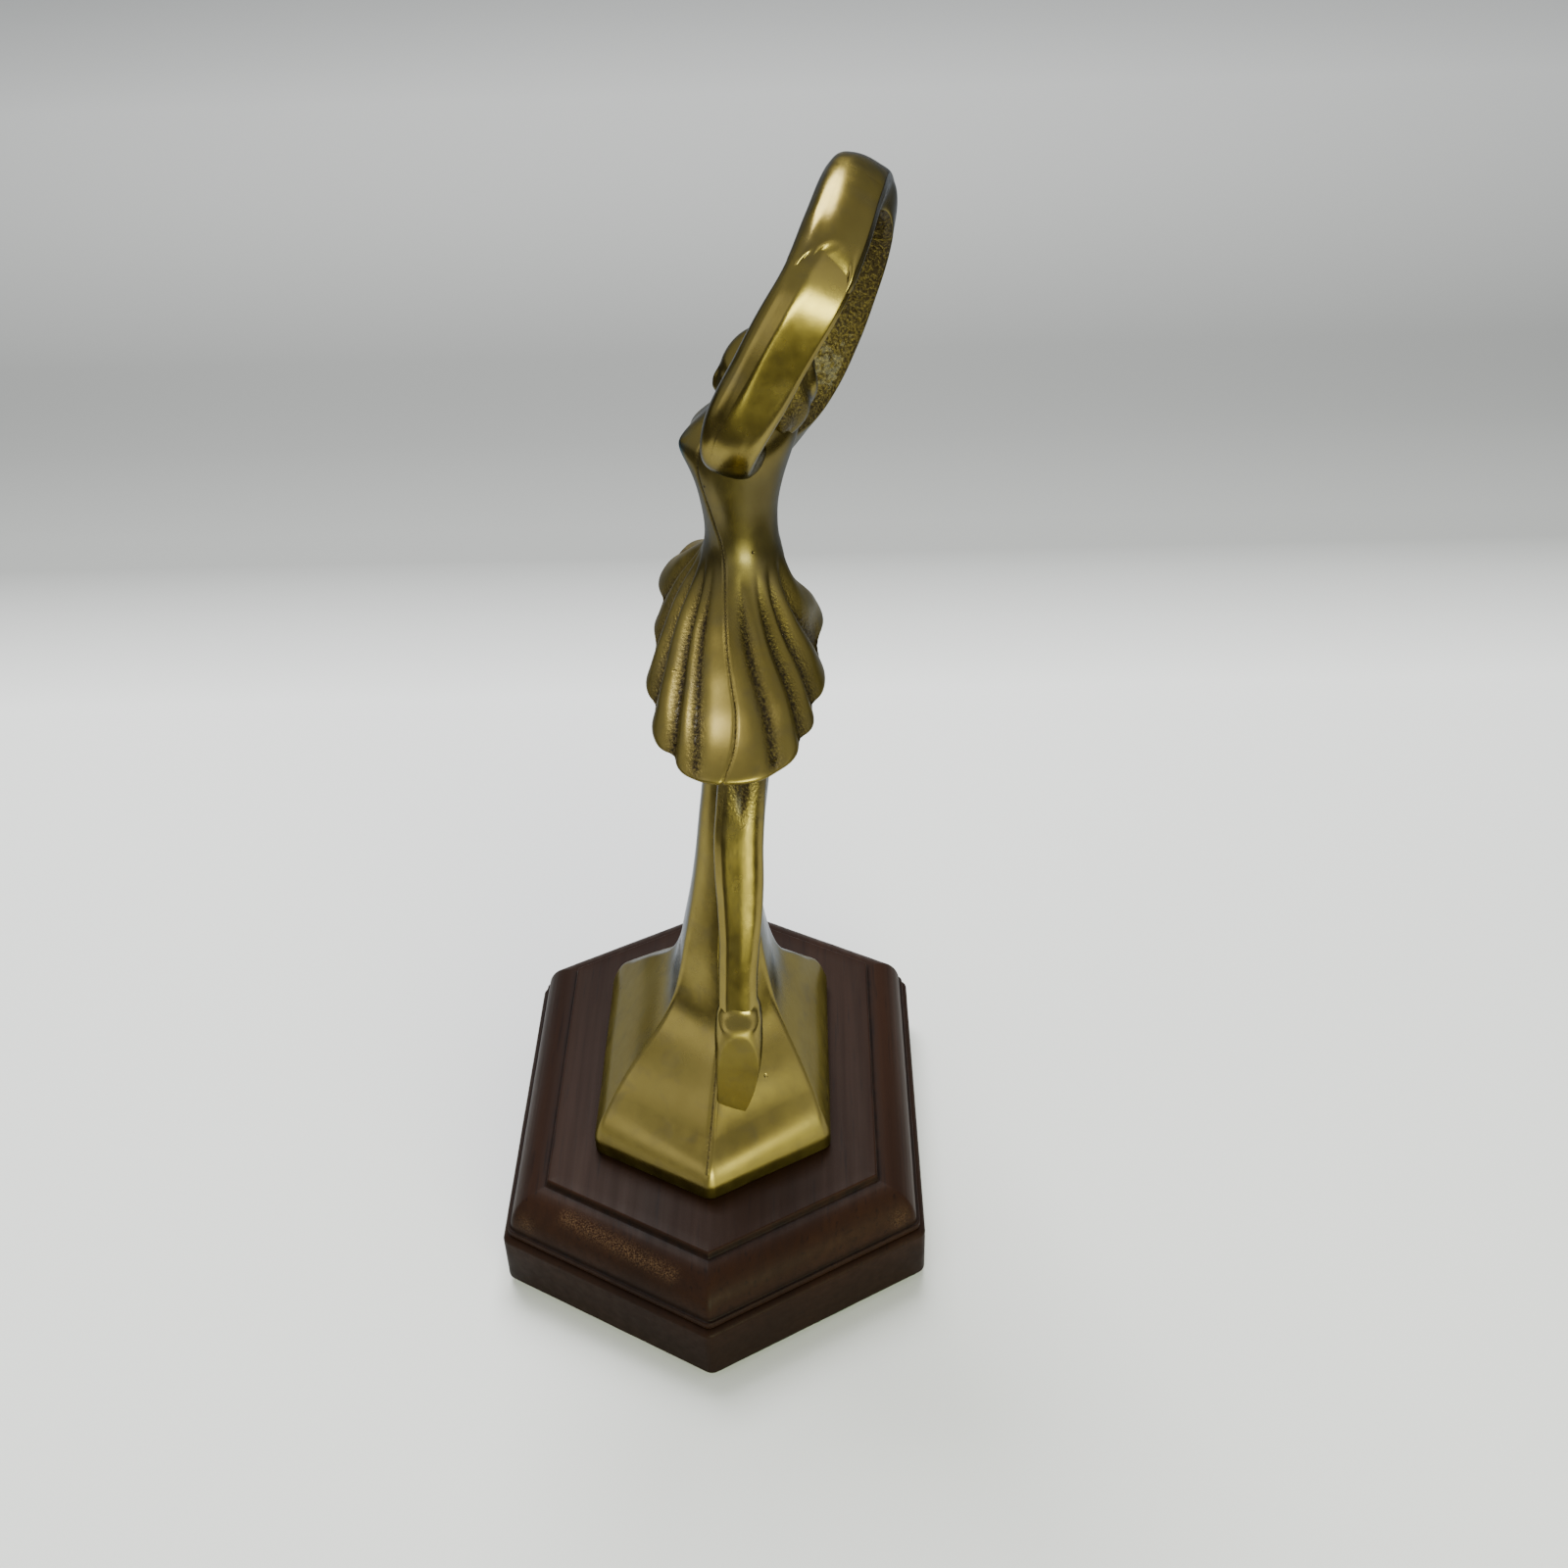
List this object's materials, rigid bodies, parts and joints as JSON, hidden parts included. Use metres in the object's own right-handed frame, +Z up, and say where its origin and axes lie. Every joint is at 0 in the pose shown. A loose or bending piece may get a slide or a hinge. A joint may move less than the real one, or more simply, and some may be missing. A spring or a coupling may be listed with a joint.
{
  "type": "bowling trophy",
  "caption": "Brass dancer figure with raised ring of arms and pleated skirt, on a flared six-sided foot bolted to a moulded hexagonal wooden plinth.",
  "frame": {"origin": "centre of the felt's underside, on the surface that the trophy stands on", "axes": "+Z up; the figure faces -Y; X runs along the plinth's long axis, with the figure's left leg on +X"},
  "size_m": [0.1654, 0.114, 0.2856],
  "materials": {
    "satin_brass": "satin, lacquered cast brass with dark rough recesses",
    "pin_brass": "plain drawn brass rod",
    "mahogany": "satin lacquer over dark red-brown stained mahogany",
    "dowel_wood": "plain beech",
    "zinc_steel": "zinc plated",
    "felt": "green felt"
  },
  "bodies": {
    "root": {"felt_pad": "felt", "lower_board": "mahogany", "upper_board": "mahogany", "board_dowels": "dowel_wood", "threaded_stud": "zinc_steel", "flat_washer": "zinc_steel", "lock_washer": "zinc_steel", "hex_nut": "zinc_steel", "locating_pins": "zinc_steel", "pedestal": "satin_brass", "left_leg": "satin_brass", "left_foot": "satin_brass", "body_front_shell": "satin_brass", "body_back_shell": "satin_brass", "head": "satin_brass", "left_arm": "satin_brass", "left_hand": "satin_brass", "right_hand": "satin_brass", "right_arm": "satin_brass", "seam_pins": "pin_brass", "hip_pins": "pin_brass", "shoulder_pins": "pin_brass", "ankle_pin": "pin_brass", "neck_pin": "pin_brass"}
  },
  "joints": []
}
